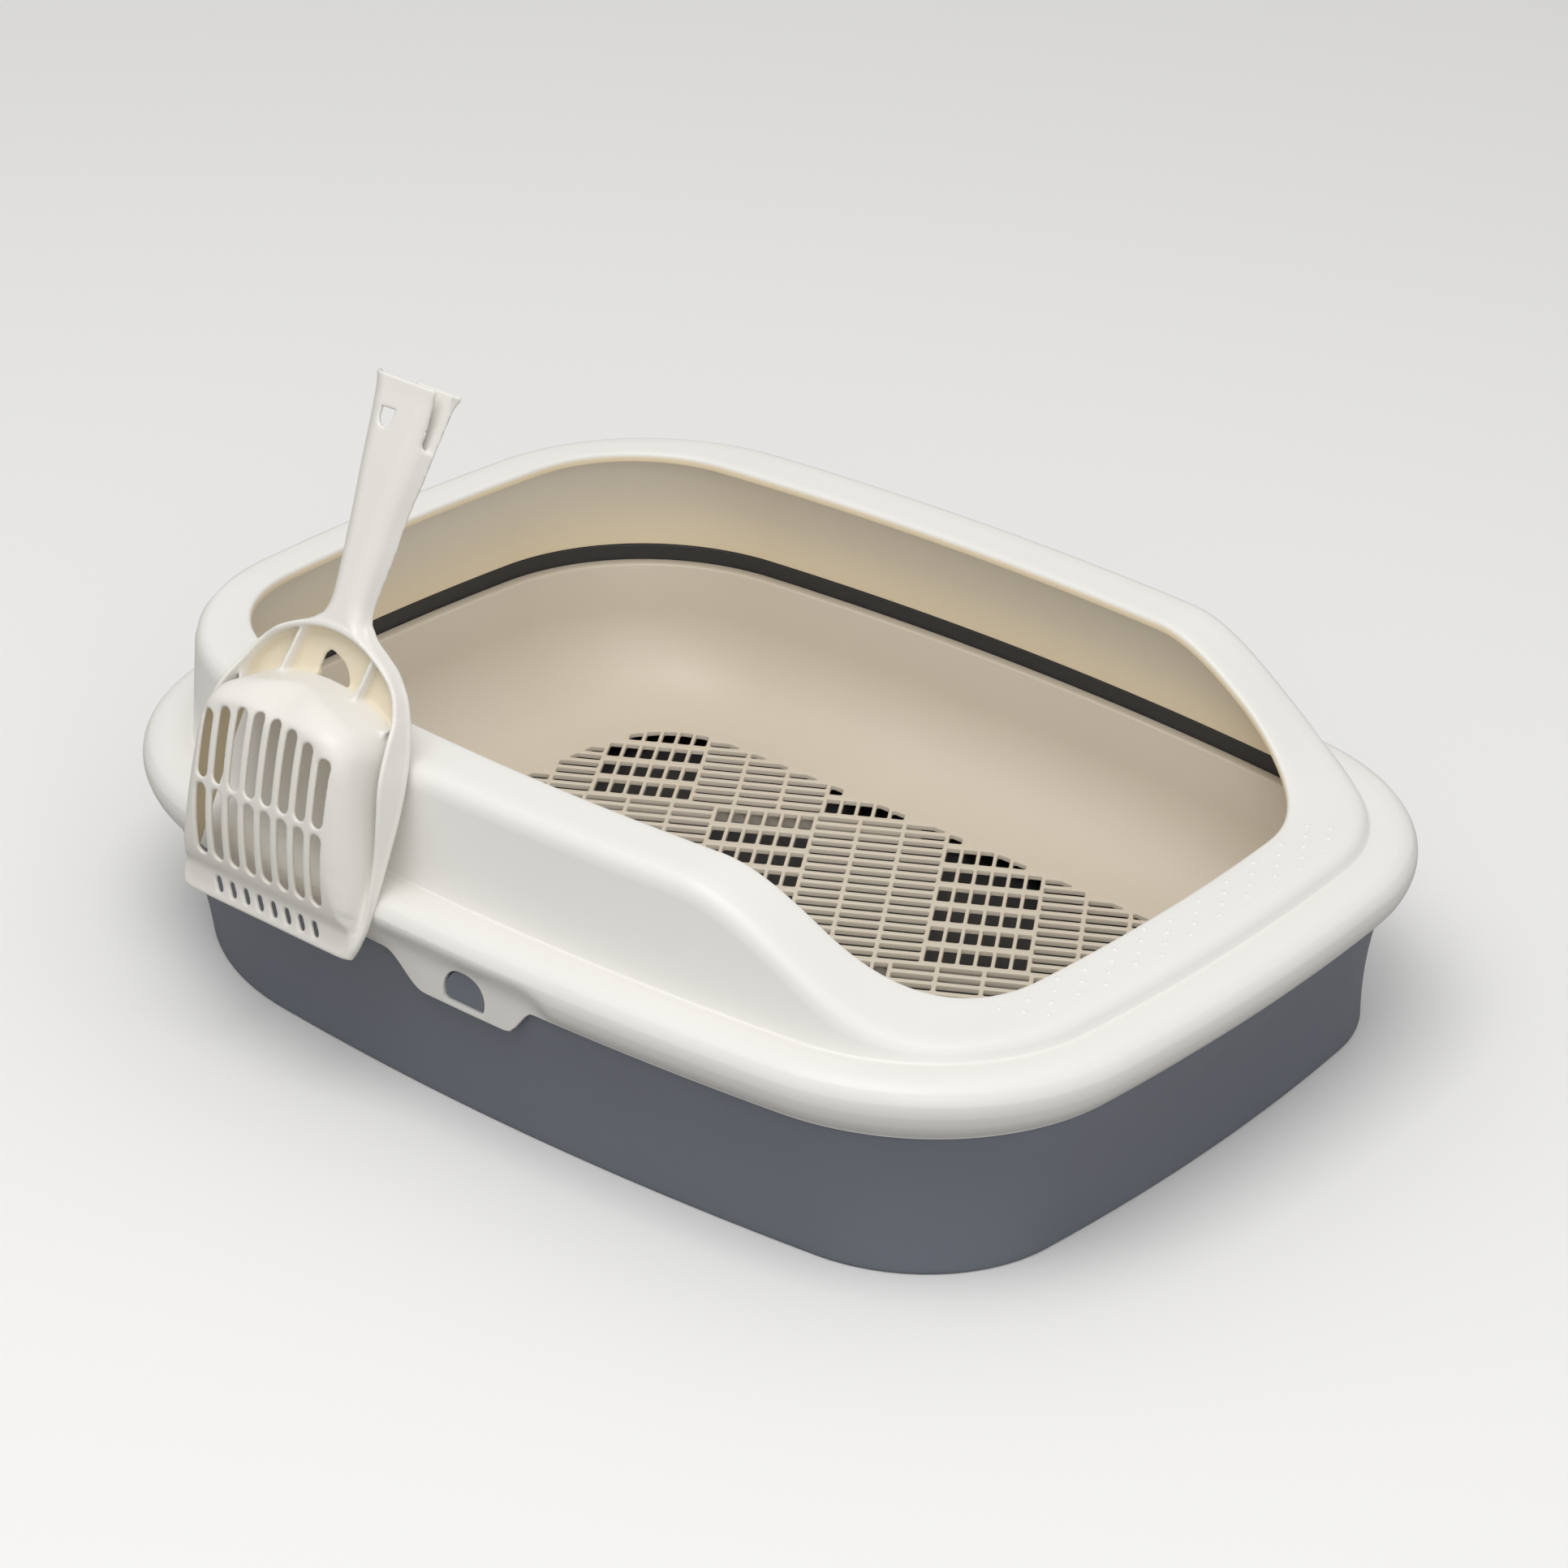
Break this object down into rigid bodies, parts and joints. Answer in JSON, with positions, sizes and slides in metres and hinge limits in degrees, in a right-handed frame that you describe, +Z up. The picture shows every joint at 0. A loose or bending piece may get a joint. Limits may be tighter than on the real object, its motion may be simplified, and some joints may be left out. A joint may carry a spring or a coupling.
{
  "type": "sifting litter box",
  "caption": "Open litter box: pan, waste tray, lift-out sifting tray with a pierced floor, hood with a low entry end that snaps over the rim, and a slotted scoop hung on its side.",
  "frame": {"origin": "centre of the base pan's flat underside, on the ground, midway between its ends and its long sides", "axes": "+Z up, +Y to the high back end and -Y to the entry, +X to the long side away from the scoop"},
  "size_m": [0.4638, 0.5616, 0.306],
  "materials": {
    "pan_plastic": "satin moulded polypropylene, blue-grey",
    "waste_tray_plastic": "satin moulded polypropylene, dark grey",
    "tray_plastic": "semi-gloss moulded polypropylene, warm beige",
    "sieve_plastic": "semi-gloss moulded polypropylene, warm beige, one moulding with the tray",
    "hood_plastic": "satin moulded polypropylene, cream white",
    "scoop_plastic": "satin moulded polypropylene, cream white"
  },
  "bodies": {
    "base_pan": {"base_pan": "pan_plastic"},
    "waste_tray": {"waste_tray": "waste_tray_plastic"},
    "sifting_tray": {"sifting_tray": "tray_plastic", "sieve_grid": "sieve_plastic"},
    "hood": {"hood": "hood_plastic"},
    "scoop": {"scoop": "scoop_plastic"}
  },
  "joints": [
    {"name": "waste_tray_lift", "type": "slide", "parent": "base_pan", "child": "waste_tray", "axis": [0, 0, 1], "range_m": [0, 0.12]},
    {"name": "sifting_tray_lift", "type": "slide", "parent": "waste_tray", "child": "sifting_tray", "axis": [0, 0, 1], "range_m": [0, 0.12]},
    {"name": "hood_lift", "type": "slide", "parent": "sifting_tray", "child": "hood", "axis": [0, 0, 1], "range_m": [0, 0.15]},
    {"name": "scoop_lift", "type": "slide", "parent": "hood", "child": "scoop", "axis": [0, 0, 1], "range_m": [0, 0.12]}
  ]
}
